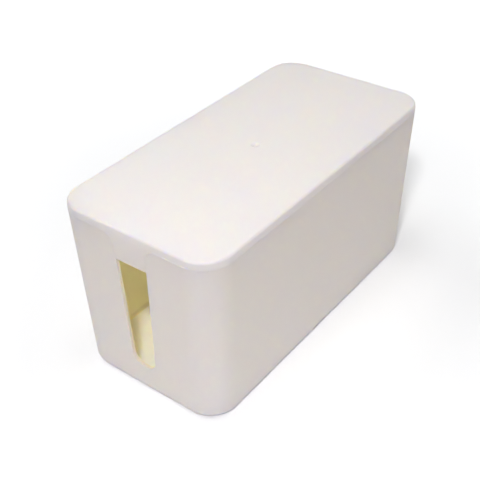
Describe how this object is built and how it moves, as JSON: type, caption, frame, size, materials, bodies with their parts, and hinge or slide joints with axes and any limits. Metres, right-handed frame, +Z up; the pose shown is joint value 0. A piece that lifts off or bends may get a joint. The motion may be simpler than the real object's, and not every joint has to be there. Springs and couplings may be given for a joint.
{
  "type": "cable management box",
  "caption": "Rectangular box with rounded corners and a lift-off lid that hides a power strip; cords pass through a tall slot in each short end.",
  "frame": {"origin": "on the table, under the middle of the box", "axes": "+X along the box's length, away from the slotted end called front; +Y across; +Z up"},
  "size_m": [0.2332, 0.1142, 0.12],
  "materials": {
    "casing_plastic": "fine satin, warm white",
    "foot_rubber": "matt, pale grey"
  },
  "bodies": {
    "box": {"box_body": "casing_plastic", "foot_front_left": "foot_rubber", "foot_front_right": "foot_rubber", "foot_rear_left": "foot_rubber", "foot_rear_right": "foot_rubber"},
    "lid": {"lid": "casing_plastic"}
  },
  "joints": [
    {"name": "lid_lift", "type": "slide", "parent": "box", "child": "lid", "axis": [0, 0, 1], "range_m": [0, 0.08]}
  ]
}
